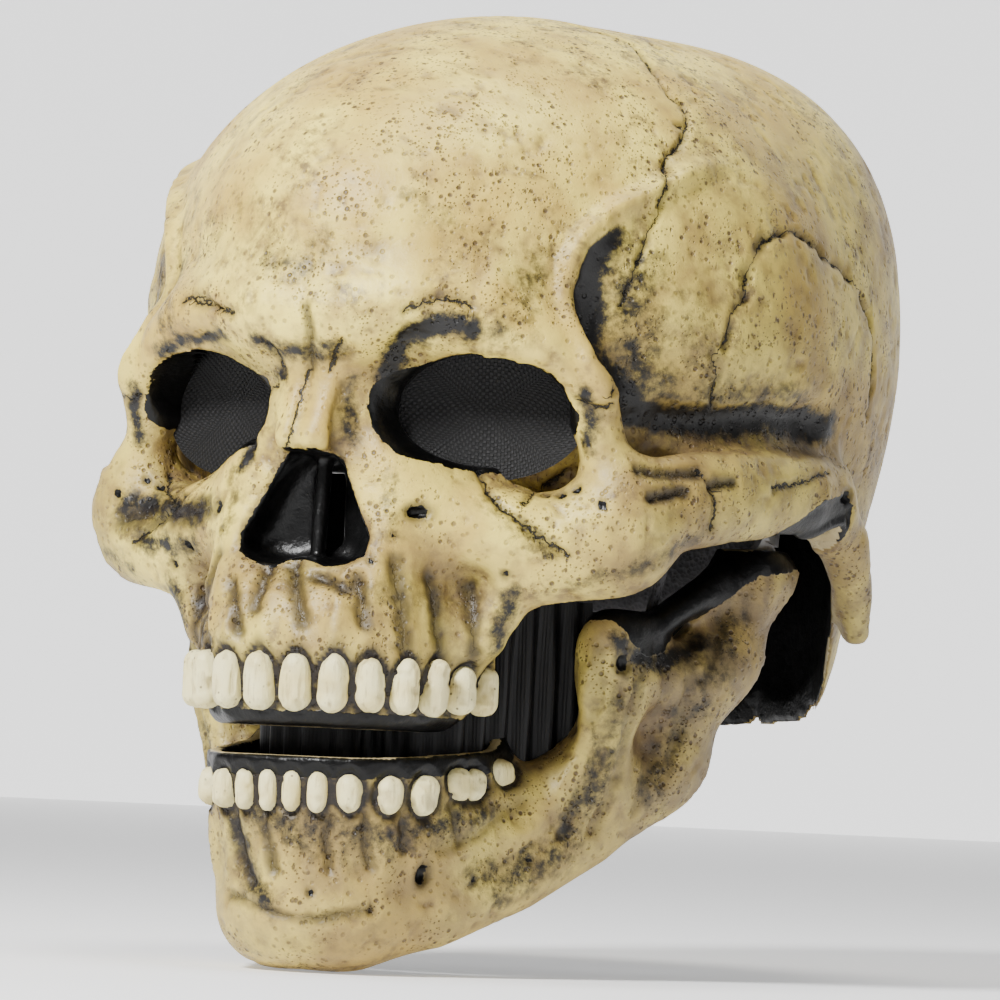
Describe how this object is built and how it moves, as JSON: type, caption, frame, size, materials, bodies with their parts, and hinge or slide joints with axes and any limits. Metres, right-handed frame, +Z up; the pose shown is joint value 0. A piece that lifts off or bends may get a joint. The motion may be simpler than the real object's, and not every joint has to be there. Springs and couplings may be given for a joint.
{
  "type": "skull mask",
  "caption": "Full-head latex skull mask worn over the head, with mesh-backed eye openings and a lower jaw that swings open on hinges hidden at the ears.",
  "frame": {"origin": "centre of the crown pad's flat underside, where the mask sits on top of the wearer's head", "axes": "+Z up, -Y the way the face looks, +X the wearer's left"},
  "size_m": [0.2174, 0.2647, 0.2824],
  "materials": {
    "bone_latex": "painted bone colour with dark antiquing, satin",
    "black_latex": "gloss black latex",
    "foam": "open-cell foam with a cloth face",
    "webbing": "woven elastic band",
    "stretch_fabric": "knitted stretch fabric, matte",
    "eye_mesh": "open knitted mesh, matte",
    "elastic_cord": "braided elastic cord",
    "cup_plastic": "moulded, fine grain",
    "hinge_steel": "brushed",
    "rivet_steel": "plated",
    "washer_nylon": "natural nylon"
  },
  "bodies": {
    "cranium": {"skull_shell": "bone_latex", "crown_pad": "foam", "brow_pad": "foam", "nape_pad": "foam", "head_strap": "webbing", "hinge_plate_left": "hinge_steel", "hinge_rivet_left": "rivet_steel", "hinge_washer_left": "washer_nylon", "hinge_boss_left": "black_latex", "side_pad_left": "foam", "strap_patch_left": "black_latex", "eye_mesh_left": "eye_mesh", "jaw_elastic_left": "elastic_cord", "hinge_plate_right": "hinge_steel", "hinge_rivet_right": "rivet_steel", "hinge_washer_right": "washer_nylon", "hinge_boss_right": "black_latex", "side_pad_right": "foam", "strap_patch_right": "black_latex", "eye_mesh_right": "eye_mesh", "jaw_elastic_right": "elastic_cord", "mouth_lining": "stretch_fabric"},
    "jaw": {"jaw_shell": "bone_latex", "chin_cup": "cup_plastic", "chin_pad": "foam", "jaw_plate_left": "hinge_steel", "jaw_plate_right": "hinge_steel"}
  },
  "joints": [
    {"name": "jaw_hinge", "type": "hinge", "parent": "cranium", "child": "jaw", "pos_m": [0, 0.012, -0.126], "axis": [1, 0, 0], "range_deg": [-2.5, 20], "stiffness_Nm_per_rad": 0.6, "springref_deg": -12.89, "deforming": ["mouth_lining", "jaw_elastic_left", "jaw_elastic_right"]}
  ]
}
